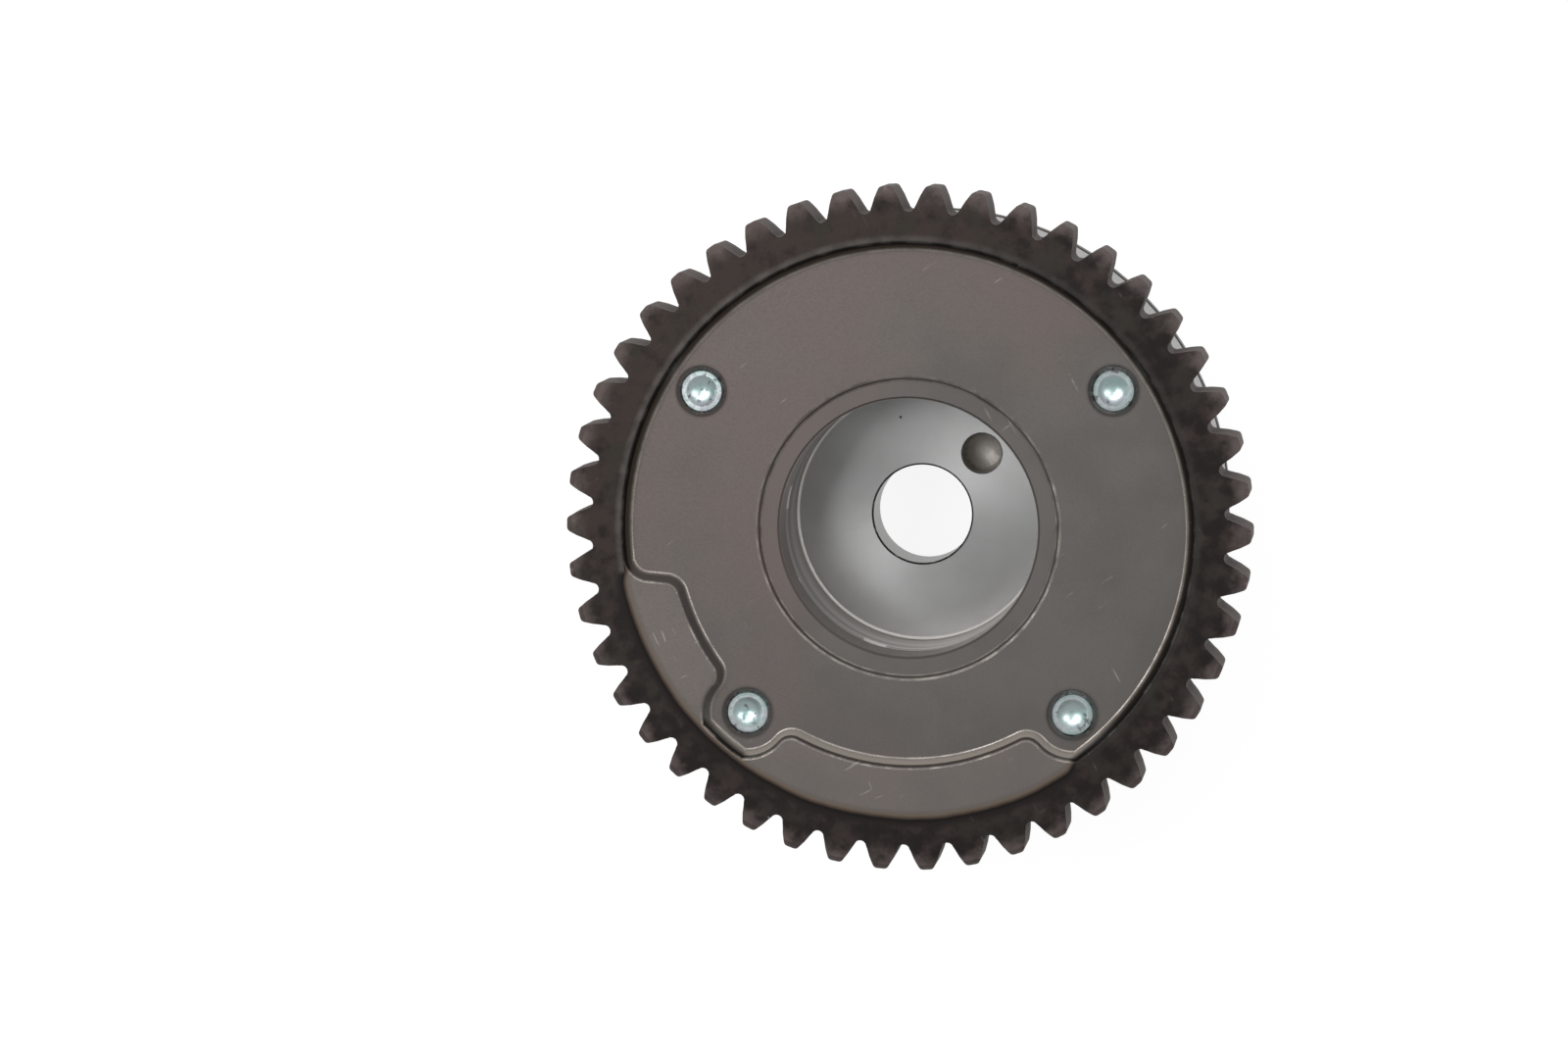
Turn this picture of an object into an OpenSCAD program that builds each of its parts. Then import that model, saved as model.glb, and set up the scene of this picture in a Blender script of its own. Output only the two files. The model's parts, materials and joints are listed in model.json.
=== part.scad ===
// Vane cam phaser with a 46-tooth sprocket, camshaft side up, unlocked at full retard
// Millimetres. +Z points to the camshaft, Z = 0 is the plane of the bolt heads

/* [Sprocket teeth] */
// Number of teeth
teeth = 46; // [30:2:60]
// Radius over the tooth tips
tip_r = 46.7; // [40:0.1:60]
// Height of a tooth from root to tip
tooth_h = 3.56; // [2:0.02:5]
// Width of a tooth where its root fillet ends
tooth_base_w = 4.12; // [3:0.02:5]
// Width of a tooth just below its rounded tip
tooth_land_w = 2.0; // [1:0.02:3]
// Bulge of a tooth flank
flank_crown = 0.08; // [0:0.01:0.2]
// Radius of the root fillet
root_fillet = 0.85; // [0.4:0.05:1.2]
// Angle of the first tooth from +X
tooth_phase = -0.95; // [-4:0.05:4]
// Depth of the tip chamfer on each face
tip_chamfer = 0.7; // [0:0.05:1.5]

/* [Sprocket plate] */
// Thickness of the plate and its teeth
plate_t = 9.0; // [7:0.1:12]
// Radius of the sunken field where its wall begins
field_r = 37.75; // [36:0.05:38.5]
// Depth of the sunken field below the ring's face and pads
field_depth = 2.0; // [1:0.05:2.5]
// Width of the sloped wall round the field in plan
wall_w = 1.45; // [1:0.05:1.8]
// Radius of the pads' inner edge
pad_in_r = 31.4; // [30:0.05:34]
// Plan radius of the pads' corners
pad_corner_r = 3.2; // [2:0.1:4]
// Radius of the field kept around a bolt beside a pad
bolt_boss_r = 4.85; // [4:0.05:6]
// Direction that the end wall of the left pad faces
pad_end_dir = 265; // [250:0.1:275]
// Distance of that wall from the axis
pad_end_dist = 8.95; // [7:0.05:12]
// Radius of the field's corner at that wall
pad_end_round = 2.1; // [1:0.1:4]
// Radius of the shallow counterbore's floor
counter_r = 20.1; // [19:0.05:24]
// Depth of the counterbore below the field
counter_depth = 0.7; // [0.4:0.05:1]
// Radius of the camshaft bore in the plate
cam_bore_r = 17.65; // [15:0.01:20]
// Chamfer of the camshaft bore
bore_chamfer = 0.35; // [0.1:0.05:0.8]

/* [Bolts] */
// Radius of the bolt circle
bolt_circle_r = 33.8; // [32:0.1:35]
// Gap angle beside the wide vane, between two bolts
wide_gap = 112.5; // [100:0.5:120]
// Thread radius
bolt_r = 3.0; // [2.5:0.5:4]
// Shank length under the head
bolt_l = 37.9; // [30:0.1:50]
// Height of the head with its flange
head_h = 4.5; // [3:0.1:6]
// Radius of the head's flange
flange_r = 6.2; // [5:0.1:8]
// Width across the flats of the head
head_af = 8.0; // [7:0.5:10]
// Radius of the countersink on the camshaft side
csk_r = 3.54; // [3.1:0.02:4.5]

/* [Housing and cover] */
// Outer radius of the housing
housing_r = 41.85; // [38:0.05:46]
// Length of the housing
housing_l = 27.7; // [18:0.1:32]
// Wall of the housing outside the chambers
housing_wall = 3.35; // [2.5:0.05:5]
// Half angle of a shoe
shoe_half = 11; // [9:0.5:13]
// Thickness of the front cover
cover_t = 3.5; // [3:0.5:7]
// Radius of the opening in the front cover
cover_hole_r = 15.0; // [12:0.5:16]
// Step of the cover's rim beyond the housing
cover_lip = 0.15; // [0:0.05:0.4]
// Radius of the locating pin
loc_r = 1.5; // [1:0.1:2]
// Length of the locating pin
loc_l = 6.0; // [4:0.5:8]

/* [Rotor] */
// Radius of the rotor hub
hub_r = 22.0; // [20:0.1:24]
// Thickness of a narrow vane
vane_w = 5.0; // [4:0.1:7]
// Turn of the rotor from full retard to full advance
phase_range = 30; // [20:1:32]
// Gap angle left between the wide vane and a shoe at either stop
stop_gap = 0.5; // [0.2:0.1:1]
// Depth of the recess floor below the ring's face
floor_depth = 21.5; // [16:0.1:24]
// Thickness of the web at the bolt bore
web_t = 8.2; // [6:0.1:12]
// Radius of the camshaft bolt bore
bolt_bore_r = 6.9; // [5:0.05:9]
// Radius of the dowel hole
dowel_r = 2.8; // [2:0.05:4]
// Distance of the dowel hole from the axis
dowel_circle_r = 11.95; // [10:0.05:14]
// Angle of the dowel hole from +X
dowel_angle = 45.45; // [0:0.05:90]
// Depth of the dowel hole's straight wall
dowel_depth = 4.0; // [3:0.5:6]
// Depth of the dish at the bottom of the dowel hole
dowel_dish = 0.8; // [0.2:0.1:1.5]
// Width of an oil slot
slot_w = 3.4; // [2:0.1:5]
// Depth of an oil slot
slot_depth = 1.8; // [1:0.1:3]
// Angle from a narrow vane back to its oil slot on the camshaft face
slot_lag = 11.2; // [8:0.1:14]
// Radius of the oil pocket at the foot of the wide vane
pocket_r = 2.0; // [1:0.1:3]

/* [Seals] */
// Width of a seal strip
seal_w = 2.0; // [1.5:0.1:3]
// Depth of a seal groove
seal_groove = 3.0; // [2:0.1:4]
// Radial height of a seal strip
seal_h = 2.4; // [1.6:0.1:3]
// Thickness of a leaf spring
leaf_t = 0.15; // [0.1:0.05:0.3]

/* [Lock pin] */
// Radius of the lock pin's stem
pin_r = 4.0; // [3:0.1:5]
// Radius of the lock pin's flange
pin_flange_r = 5.5; // [4.5:0.1:6.5]
// Length of the stem
pin_stem_l = 11.0; // [8:0.5:14]
// Thickness of the flange
pin_flange_t = 2.5; // [1.5:0.1:4]
// Travel from the released pin to full engagement
pin_travel = 3.0; // [2:0.1:4]
// Radius of the pin's spring hole
pin_hole_r = 2.9; // [2.2:0.1:3.2]
// Thickness of the pin's closed end
pin_end_t = 3.0; // [2:0.1:5]
// Thickness of the spring seat
seat_t = 3.0; // [1.5:0.1:4]
// Radius of the vent in the spring seat
seat_vent_r = 1.2; // [0.6:0.1:1.8]
// Wall of the bush that the pin locks into
bush_wall = 1.8; // [1.2:0.1:2.5]
// Length of the bush
bush_l = 3.5; // [2.5:0.1:5]
// Radius of the lock spring's wire
wire_r = 0.4; // [0.3:0.05:0.6]
// Turns of the lock spring
spring_turns = 9; // [5:0.5:12]

/* [Clearances] */
// Radial running clearance of hub and vanes
run_gap = 0.06; // [0.03:0.01:0.1]
// Side clearance of the rotor in the housing
side_gap = 0.04; // [0.02:0.01:0.08]
// Sliding clearance of seals and lock pin
slide_gap = 0.03; // [0.01:0.01:0.06]
// Clearance of a bolt in the cover and housing
bolt_gap = 0.25; // [0.1:0.05:0.5]
// Step from the plate's bore out to the rotor's recess
nose_gap = 0.05; // [0:0.01:0.1]
// Step from the cover's opening out to the rotor's front recess
head_gap = 0.2; // [0:0.05:0.5]
// Clearance of a seated piece
seat_gap = 0.01; // [0.005:0.005:0.02]

/* [Hidden] */
$fn = 96;

// Levels from the bolt heads up
z_cover = head_h;
z_housing = z_cover + cover_t;
z_plate = z_housing + housing_l;
z_ring = z_plate + plate_t;
z_field = z_ring - field_depth;
z_counter = z_field - counter_depth;
z_floor = z_ring - floor_depth;
z_rotor0 = z_housing + side_gap;
z_rotor1 = z_plate - side_gap;
rotor_l = z_rotor1 - z_rotor0;
eps = 0.5;

// Bolt angles: one wide gap over +Y and three equal ones
even_gap = (360 - wide_gap) / 3;
bolt_angles = [90 - wide_gap / 2, 90 + wide_gap / 2,
    90 + wide_gap / 2 + even_gap, 90 - wide_gap / 2 - even_gap];

// Rotor angles at full retard
wide_a0 = bolt_angles[0] + shoe_half + stop_gap;
wide_a1 = bolt_angles[1] - shoe_half - stop_gap - phase_range;
wide_mid = (wide_a0 + wide_a1) / 2;
vane_root = asin(vane_w / 2 / hub_r);
vane_a = bolt_angles[2] - shoe_half - 1 - phase_range - vane_root;
vane_angles = [vane_a, vane_a + even_gap, vane_a + 2 * even_gap];
wide_seal_a = wide_mid + (wide_a1 - wide_mid) * 2 / 3;
seal_angles = [vane_angles[0], vane_angles[1], vane_angles[2], wide_seal_a];
chamber_r = housing_r - housing_wall;
vane_tip_r = chamber_r - run_gap;
recess_r = cam_bore_r + nose_gap;
head_recess_r = cover_hole_r + head_gap;
shoe_tip_r = hub_r + run_gap;
pin_circle_r = (hub_r + chamber_r) / 2 - pin_flange_r / 20;
loc_circle_r = (shoe_tip_r + seal_groove + bolt_circle_r - bolt_r - bolt_gap) / 2;

// Lock pin levels, pin released with its tip level with the rotor's face
pin_tip_z = z_rotor1 - side_gap;
pin_flange_z = pin_tip_z - pin_stem_l - pin_flange_t;
pin_step_z = pin_tip_z - pin_stem_l + pin_travel;
pin_hole_top = pin_tip_z - pin_end_t;
seat_top = z_rotor0 + seat_t;

function polar(r, a) = r * [cos(a), sin(a)];
function arc_pts(c, r, a0, a1, n) = [for (i = [0:n]) c + polar(r, a0 + (a1 - a0) * i / n)];
function to_r(p, a, r) = let (d = polar(1, a), b = p * d) p + (sqrt(b * b - p * p + r * r) - b) * d;
function angle_of(p) = (atan2(p.y, p.x) + 360) % 360;
function run_back(p, q, r, n) = let (a = angle_of(p), b = angle_of(q))
    [for (i = [1:n]) polar(r, a + (b - a) * i / (n + 1))];

// Tooth outline: one half, mirrored, as radius and angle from the tooth's centre line
root_r = tip_r - tooth_h;
tooth_pitch = 360 / teeth;
flank_r0 = root_r + root_fillet;
flank_r1 = tip_r - 0.27;
function deg_at(w, r) = w / r * 180 / PI;
function flank_r(t) = flank_r0 + (flank_r1 - flank_r0) * t;
function flank_w(t) = (tooth_base_w * (1 - t) + tooth_land_w * t) / 2 + flank_crown * 4 * t * (1 - t);
tooth_half = concat(
    [for (b = [-62, -36, -10]) let (r = flank_r0 + root_fillet * sin(b))
        [r, -tooth_pitch / 2 + deg_at(root_fillet * cos(b), r)]],
    [for (t = [0.06, 0.5, 1]) [flank_r(t), -deg_at(flank_w(t), flank_r(t))]],
    [[tip_r - 0.07, -deg_at(tooth_land_w / 2 - 0.2, tip_r)],
     [tip_r, -deg_at(tooth_land_w / 2 - 0.5, tip_r)]]);
half_n = len(tooth_half);
tooth_pts = concat([[root_r, -tooth_pitch / 2]], tooth_half,
    [for (i = [half_n - 1:-1:0]) [tooth_half[i][0], -tooth_half[i][1]]]);
sprocket_pts = [for (k = [0:teeth - 1]) for (p = tooth_pts)
    polar(p[0], p[1] + tooth_phase + k * tooth_pitch)];

// Sloped wall of the field: distance outward and height above the field, from its foot up
wall_steps = [[0, 0], [0.17, 0.03], [0.32, 0.11], [0.44, 0.26], [wall_w - 0.36, field_depth - 0.26],
    [wall_w - 0.25, field_depth - 0.11], [wall_w - 0.11, field_depth - 0.03], [wall_w + 0.05, field_depth]];
wall_over = [wall_w + 0.3, field_depth + 0.5];
pad_steps = concat([[-0.1, -0.5]], wall_steps, [wall_over + [0.12, 0.3]]);

// Pad outlines as tangent arcs, for a distance out from the wall's foot
pad_out_r = field_r + wall_w + 1;
corner_c_r = pad_in_r + pad_corner_r;
corner_b_r = bolt_boss_r + pad_corner_r;
corner_a = acos((corner_c_r * corner_c_r + bolt_circle_r * bolt_circle_r - corner_b_r * corner_b_r)
    / (2 * corner_c_r * bolt_circle_r));
corner_dir = atan2(corner_c_r * sin(corner_a), corner_c_r * cos(corner_a) - bolt_circle_r);
exit_a = 42;
end_c_a = pad_end_dir - acos((pad_end_dist + pad_corner_r) / corner_c_r);
end_m_a = pad_end_dir - acos((pad_end_dist - pad_end_round) / (field_r - pad_end_round));
end_m = polar(field_r - pad_end_round, end_m_a);
left_bolt = bolt_angles[2];
right_bolt = bolt_angles[3] + 360;
function boss_up(a, d) = arc_pts(polar(bolt_circle_r, a), bolt_boss_r + d, a + exit_a, a + corner_dir, 9);
function boss_down(a, d) = arc_pts(polar(bolt_circle_r, a), bolt_boss_r + d, a - corner_dir, a - exit_a, 9);
function corner_up(a, d) = arc_pts(polar(corner_c_r, a + corner_a), pad_corner_r - d,
    a + corner_dir + 180, a + corner_a + 180, 9);
function corner_down(a, d) = arc_pts(polar(corner_c_r, a - corner_a), pad_corner_r - d,
    a - corner_a + 180, a - corner_dir + 180, 9);
function bottom_edge(d) = let (s = boss_up(left_bolt, d), e = boss_down(right_bolt, d)) concat(
    [to_r(s[0], left_bolt + exit_a - 90, pad_out_r)], s, corner_up(left_bolt, d),
    arc_pts([0, 0], pad_in_r + d, left_bolt + corner_a + 1, right_bolt - corner_a - 1, 18),
    corner_down(right_bolt, d), e, [to_r(e[9], right_bolt - exit_a + 90, pad_out_r)]);
function left_edge(d) = let (
        s = arc_pts(end_m, pad_end_round + d, end_m_a + 16, pad_end_dir, 9),
        e = boss_down(left_bolt, d)) concat(
    [to_r(s[0], end_m_a - 74, pad_out_r)], s,
    arc_pts(polar(corner_c_r, end_c_a), pad_corner_r - d, pad_end_dir - 180, end_c_a - 180, 9),
    arc_pts([0, 0], pad_in_r + d, end_c_a + 1, left_bolt - corner_a - 1, 8),
    corner_down(left_bolt, d), e, [to_r(e[9], left_bolt - exit_a + 90, pad_out_r)]);
function closed(p) = concat(p, run_back(p[len(p) - 1], p[0], pad_out_r, 12));

module pad_body(rings) {
    n = len(rings[0]);
    m = len(rings);
    pts = [for (k = [0:m - 1]) for (p = rings[k]) [p.x, p.y, z_field + pad_steps[k][1]]];
    sides = [for (k = [0:m - 2]) for (i = [0:n - 1]) each [
        [k * n + i, k * n + (i + 1) % n, (k + 1) * n + (i + 1) % n],
        [k * n + i, (k + 1) * n + (i + 1) % n, (k + 1) * n + i]]];
    polyhedron(points = pts, faces = concat([[for (i = [n - 1:-1:0]) i]],
        [[for (i = [0:n - 1]) (m - 1) * n + i]], sides));
}

module at_polar(r, a, z) {
    rotate([0, 0, a]) translate([r, 0, z]) children();
}

module wedge(a0, a1, r, z, h) {
    translate([0, 0, z]) linear_extrude(h)
        polygon([[0, 0], polar(r, a0), polar(r / cos((a1 - a0) / 2), (a0 + a1) / 2), polar(r, a1)]);
}

// Sunken field, cut out of the plate around the two pads
module field() {
    difference() {
        rotate_extrude() polygon(concat([[0, z_field]],
            [for (w = concat(wall_steps, [wall_over])) [field_r + w[0], z_field + w[1]]],
            [[0, z_field + wall_over[1]]]));
        pad_body([for (w = pad_steps) closed(bottom_edge(w[0]))]);
        pad_body([for (w = pad_steps) closed(left_edge(w[0]))]);
    }
}

// Sintered sprocket plate: teeth, sunken field with two pads, counterbore, tapped holes
module sprocket_plate() {
    color([0.34, 0.31, 0.3]) difference() {
        intersection() {
            translate([0, 0, z_plate]) linear_extrude(plate_t) polygon(sprocket_pts);
            rotate_extrude() polygon([[0, z_plate], [tip_r - tip_chamfer, z_plate],
                [tip_r + 0.1, z_plate + tip_chamfer / 2], [tip_r + 0.1, z_ring - tip_chamfer / 2],
                [tip_r - tip_chamfer, z_ring], [0, z_ring]]);
        }
        field();
        rotate_extrude() polygon([[0, z_counter], [counter_r, z_counter], [counter_r + 0.24, z_counter + 0.1],
            [counter_r + 0.45, z_field - 0.14], [counter_r + 0.68, z_field - 0.02],
            [counter_r + 0.8, z_field], [counter_r + 0.8, z_field + 0.1], [0, z_field + 0.1]]);
        translate([0, 0, z_plate - eps]) cylinder(r = cam_bore_r, h = plate_t + 2 * eps);
        translate([0, 0, z_counter - bore_chamfer])
            cylinder(r1 = cam_bore_r, r2 = cam_bore_r + bore_chamfer + 0.1, h = bore_chamfer + 0.1);
        translate([0, 0, z_plate - 0.1]) cylinder(r1 = cam_bore_r + 0.3, r2 = cam_bore_r, h = 0.3);
        for (a = bolt_angles) at_polar(bolt_circle_r, a, 0) {
            translate([0, 0, z_plate - eps]) cylinder(r = bolt_r + seat_gap, h = plate_t + 2 * eps);
            translate([0, 0, z_field - csk_r + bolt_r])
                cylinder(r1 = bolt_r, r2 = csk_r + 0.2, h = csk_r - bolt_r + 0.2);
        }
        at_polar(pin_circle_r, wide_mid, z_plate - eps)
            cylinder(r = pin_r + slide_gap + bush_wall + seat_gap, h = bush_l + eps);
        at_polar(loc_circle_r, bolt_angles[0], z_plate - eps)
            cylinder(r = loc_r + seat_gap, h = loc_l / 2 + 0.2 + eps);
    }
}

// Aluminium housing: round wall, four shoes with bolt holes and seal grooves
module housing() {
    color([0.72, 0.72, 0.71]) difference() {
        rotate_extrude() polygon([[shoe_tip_r, z_housing], [housing_r - 0.4, z_housing],
            [housing_r, z_housing + 0.4], [housing_r, z_plate - 0.3],
            [housing_r - 0.3, z_plate], [shoe_tip_r, z_plate]]);
        difference() {
            translate([0, 0, z_housing - eps]) cylinder(r = chamber_r, h = housing_l + 2 * eps);
            for (a = bolt_angles)
                wedge(a - shoe_half, a + shoe_half, chamber_r * 1.1,
                    z_housing - 2 * eps, housing_l + 4 * eps);
        }
        for (a = bolt_angles) {
            at_polar(bolt_circle_r, a, z_housing - eps)
                cylinder(r = bolt_r + bolt_gap, h = housing_l + 2 * eps);
            at_polar(shoe_tip_r - eps, a, z_housing - eps) translate([0, -seal_w / 2, 0])
                cube([seal_groove + eps, seal_w, housing_l + 2 * eps]);
        }
        at_polar(loc_circle_r, bolt_angles[0], z_plate - loc_l / 2)
            cylinder(r = loc_r + seat_gap, h = loc_l / 2 + eps);
    }
}

// Steel front cover with its round opening
module front_cover() {
    color([0.4, 0.39, 0.38]) difference() {
        rotate_extrude() polygon([[cover_hole_r + 0.6, z_cover], [housing_r + cover_lip - 0.5, z_cover],
            [housing_r + cover_lip, z_cover + 0.5], [housing_r + cover_lip, z_housing - 0.2],
            [housing_r + cover_lip - 0.2, z_housing], [cover_hole_r, z_housing],
            [cover_hole_r, z_cover + 0.6]]);
        for (a = bolt_angles) at_polar(bolt_circle_r, a, z_cover - eps)
            cylinder(r = bolt_r + bolt_gap, h = cover_t + 2 * eps);
    }
}

// Vane rotor: hub, three narrow vanes, one wide vane with the lock pin's bore
module rotor() {
    color([0.56, 0.56, 0.55]) difference() {
        union() {
            translate([0, 0, z_rotor0]) cylinder(r = hub_r, h = rotor_l);
            intersection() {
                translate([0, 0, z_rotor0]) cylinder(r = vane_tip_r, h = rotor_l);
                union() {
                    for (a = vane_angles) at_polar(hub_r * 0.85, a, z_rotor0) translate([0, -vane_w / 2, 0])
                        cube([chamber_r, vane_w, rotor_l]);
                    wedge(wide_a0, wide_a1, chamber_r * 1.1, z_rotor0, rotor_l);
                }
            }
        }
        rotate_extrude() polygon([[0, z_floor], [recess_r - 0.4, z_floor], [recess_r - 0.12, z_floor + 0.12],
            [recess_r, z_floor + 0.4], [recess_r, z_rotor1 + eps], [0, z_rotor1 + eps]]);
        translate([0, 0, z_rotor1 - 0.3]) cylinder(r1 = recess_r, r2 = recess_r + 0.4, h = 0.4);
        translate([0, 0, z_floor - web_t - eps]) cylinder(r = bolt_bore_r, h = web_t + 2 * eps);
        translate([0, 0, z_floor - 0.25]) cylinder(r1 = bolt_bore_r, r2 = bolt_bore_r + 0.35, h = 0.35);
        translate([0, 0, z_rotor0 - eps]) cylinder(r = head_recess_r, h = z_floor - web_t - z_rotor0 + eps);
        at_polar(dowel_circle_r, dowel_angle, z_floor) rotate_extrude() polygon(concat(
            [for (t = [0:0.2:0.8]) [dowel_r * t, -dowel_depth - dowel_dish * (1 - t * t)]],
            [[dowel_r, -dowel_depth], [dowel_r, -0.12], [dowel_r + 0.12, 0],
                [dowel_r + 0.12, eps], [0, eps]]));
        for (a = seal_angles) at_polar(vane_tip_r - seal_groove, a, z_rotor0 - eps)
            translate([0, -seal_w / 2, 0]) cube([seal_groove + eps, seal_w, rotor_l + 2 * eps]);
        for (a = vane_angles) {
            at_polar(recess_r - 1, a - slot_lag, z_rotor1 - slot_depth) translate([0, -slot_w / 2, 0])
                cube([hub_r - recess_r + 2, slot_w, slot_depth + eps]);
            at_polar(head_recess_r - 1, a + slot_lag, z_rotor0 - eps) translate([0, -slot_w / 2, 0])
                cube([hub_r - head_recess_r + 2, slot_w, slot_depth + eps]);
        }
        at_polar(recess_r - 1, wide_a0 + 4, z_rotor1 - slot_depth) translate([0, -slot_w / 2, 0])
            cube([hub_r - recess_r + 1.75 * pocket_r, slot_w, slot_depth + eps]);
        at_polar(hub_r + pocket_r, wide_a0, z_rotor0 - eps) cylinder(r = pocket_r, h = rotor_l + 2 * eps);
        at_polar(head_recess_r - 1, wide_a1 + slot_lag / 2, z_rotor0 - eps) translate([0, -slot_w / 2, 0])
            cube([hub_r - head_recess_r + 2, slot_w, slot_depth + eps]);
        at_polar(pin_circle_r, wide_mid, pin_step_z - eps)
            cylinder(r = pin_r + slide_gap, h = z_rotor1 - pin_step_z + 2 * eps);
        at_polar(pin_circle_r, wide_mid, z_rotor0 - eps)
            cylinder(r = pin_flange_r + slide_gap, h = pin_step_z - z_rotor0 + eps);
    }
}

// Seal strip of a vane, held out against the chamber wall
module vane_seal(a) {
    color([0.2, 0.17, 0.14]) intersection() {
        at_polar(vane_tip_r - seal_h, a, z_rotor0 + seat_gap) translate([0, -seal_w / 2 + slide_gap, 0])
            cube([seal_h + eps, seal_w - 2 * slide_gap, rotor_l - 2 * seat_gap]);
        translate([0, 0, z_rotor0]) cylinder(r = chamber_r - slide_gap, h = rotor_l);
    }
}

// Seal strip of a shoe, held in against the hub
module shoe_seal(a) {
    color([0.2, 0.17, 0.14]) difference() {
        at_polar(hub_r - eps, a, z_rotor0 + seat_gap) translate([0, -seal_w / 2 + slide_gap, 0])
            cube([seal_h + run_gap + eps, seal_w - 2 * slide_gap, rotor_l - 2 * seat_gap]);
        translate([0, 0, z_housing]) cylinder(r = hub_r + slide_gap, h = housing_l);
    }
}

// Bowed leaf spring of height h, its ends at radius r and its crown further out or in
module leaf(r, a, h, s) {
    half = rotor_l * 0.42;
    bow = h - leaf_t - 2 * seat_gap;
    zs = [for (i = [-8:8]) i / 8];
    pts = concat([for (t = zs) [seat_gap + bow * (1 - t * t), t * half]],
        [for (i = [8:-1:-8]) [seat_gap + bow * (1 - i * i / 64) + leaf_t, i / 8 * half]]);
    color([0.66, 0.65, 0.6]) at_polar(r, a, z_rotor0 + rotor_l / 2) rotate([90, 0, 0])
        translate([0, 0, -seal_w * 0.4]) linear_extrude(seal_w * 0.8) polygon([for (p = pts) [s * p.x, p.y]]);
}

// Spring under a vane's seal
module vane_spring(a) {
    leaf(vane_tip_r - seal_groove, a, seal_groove - seal_h, 1);
}

// Spring behind a shoe's seal
module shoe_spring(a) {
    leaf(shoe_tip_r + seal_groove, a, seal_groove - seal_h, -1);
}

// Hollow lock pin with its flange
module lock_pin() {
    color([0.62, 0.62, 0.63]) at_polar(pin_circle_r, wide_mid, 0) rotate_extrude() polygon([
        [pin_hole_r, pin_flange_z], [pin_flange_r - 0.3, pin_flange_z], [pin_flange_r, pin_flange_z + 0.3],
        [pin_flange_r, pin_flange_z + pin_flange_t], [pin_r, pin_flange_z + pin_flange_t],
        [pin_r, pin_tip_z - 0.6], [pin_r - 0.6, pin_tip_z], [0, pin_tip_z],
        [0, pin_hole_top], [pin_hole_r, pin_hole_top]]);
}

// Coil spring that pushes the lock pin to the sprocket plate
module lock_spring() {
    coil_r = pin_hole_r - slide_gap - wire_r;
    z0 = seat_top + wire_r + seat_gap;
    rise = pin_hole_top - wire_r - seat_gap - z0;
    per = 18;
    sides = 8;
    n = spring_turns * per;
    pts = [for (i = [0:n]) for (k = [0:sides - 1])
        let (a = i * 360 / per, b = k * 360 / sides, r = coil_r + wire_r * cos(b))
        [r * cos(a), r * sin(a), z0 + rise * i / n + wire_r * sin(b)]];
    walls = [for (i = [0:n - 1]) for (k = [0:sides - 1]) each [
        [i * sides + k, (i + 1) * sides + (k + 1) % sides, i * sides + (k + 1) % sides],
        [i * sides + k, (i + 1) * sides + k, (i + 1) * sides + (k + 1) % sides]]];
    color([0.66, 0.65, 0.6]) at_polar(pin_circle_r, wide_mid, 0)
        polyhedron(points = pts, faces = concat([[for (k = [0:sides - 1]) k]],
            [[for (k = [sides - 1:-1:0]) n * sides + k]], walls));
}

// Seat of the lock spring at the cover's end of the bore
module spring_seat() {
    color([0.55, 0.55, 0.55]) at_polar(pin_circle_r, wide_mid, 0) rotate_extrude() polygon([
        [seat_vent_r, z_rotor0 + seat_gap], [pin_flange_r + slide_gap - seat_gap, z_rotor0 + seat_gap],
        [pin_flange_r + slide_gap - seat_gap, seat_top], [seat_vent_r, seat_top]]);
}

// Hardened bush in the plate that the lock pin enters
module lock_bush() {
    r = pin_r + 5 * slide_gap;
    color([0.5, 0.5, 0.52]) at_polar(pin_circle_r, wide_mid, z_plate + seat_gap) difference() {
        cylinder(r = pin_r + slide_gap + bush_wall, h = bush_l - 2 * seat_gap);
        translate([0, 0, -eps]) cylinder(r = r, h = bush_l + 2 * eps);
        translate([0, 0, -0.1]) cylinder(r1 = r + 0.6, r2 = r, h = 0.6);
    }
}

// Dowel that sets the housing to the plate
module locating_pin() {
    z0 = z_plate - loc_l / 2 + seat_gap;
    z1 = z_plate + loc_l / 2 - seat_gap;
    color([0.6, 0.6, 0.6]) at_polar(loc_circle_r, bolt_angles[0], 0) rotate_extrude() polygon([
        [0, z0], [loc_r - 0.2, z0], [loc_r, z0 + 0.2], [loc_r, z1 - 0.2], [loc_r - 0.2, z1], [0, z1]]);
}

// Four flanged hex bolts from the front, their dimpled tips level with the plate
module cover_bolts() {
    color([0.78, 0.82, 0.82]) for (a = bolt_angles) at_polar(bolt_circle_r, a, 0) difference() {
        union() {
            intersection() {
                cylinder(r = head_af / 2 / cos(30), h = z_cover - 0.6, $fn = 6);
                rotate_extrude() polygon([[0, 0], [head_af / 2 - 0.1, 0],
                    [head_af / 2 + 0.9, 0.6], [head_af / 2 + 0.9, z_cover], [0, z_cover]]);
            }
            rotate_extrude() polygon([[0, z_cover - 1.6], [head_af / 2 + 0.3, z_cover - 1.6],
                [flange_r, z_cover - 0.7],
                [flange_r, z_cover], [bolt_r, z_cover], [bolt_r, z_cover + bolt_l - 0.35],
                [bolt_r - 0.28, z_cover + bolt_l], [0, z_cover + bolt_l]]);
        }
        translate([0, 0, z_cover + bolt_l + bolt_r * 0.73]) sphere(r = bolt_r * 1.017);
        translate([0, 0, -0.1]) cylinder(r = head_af * 0.3, h = 0.6);
    }
}

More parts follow.
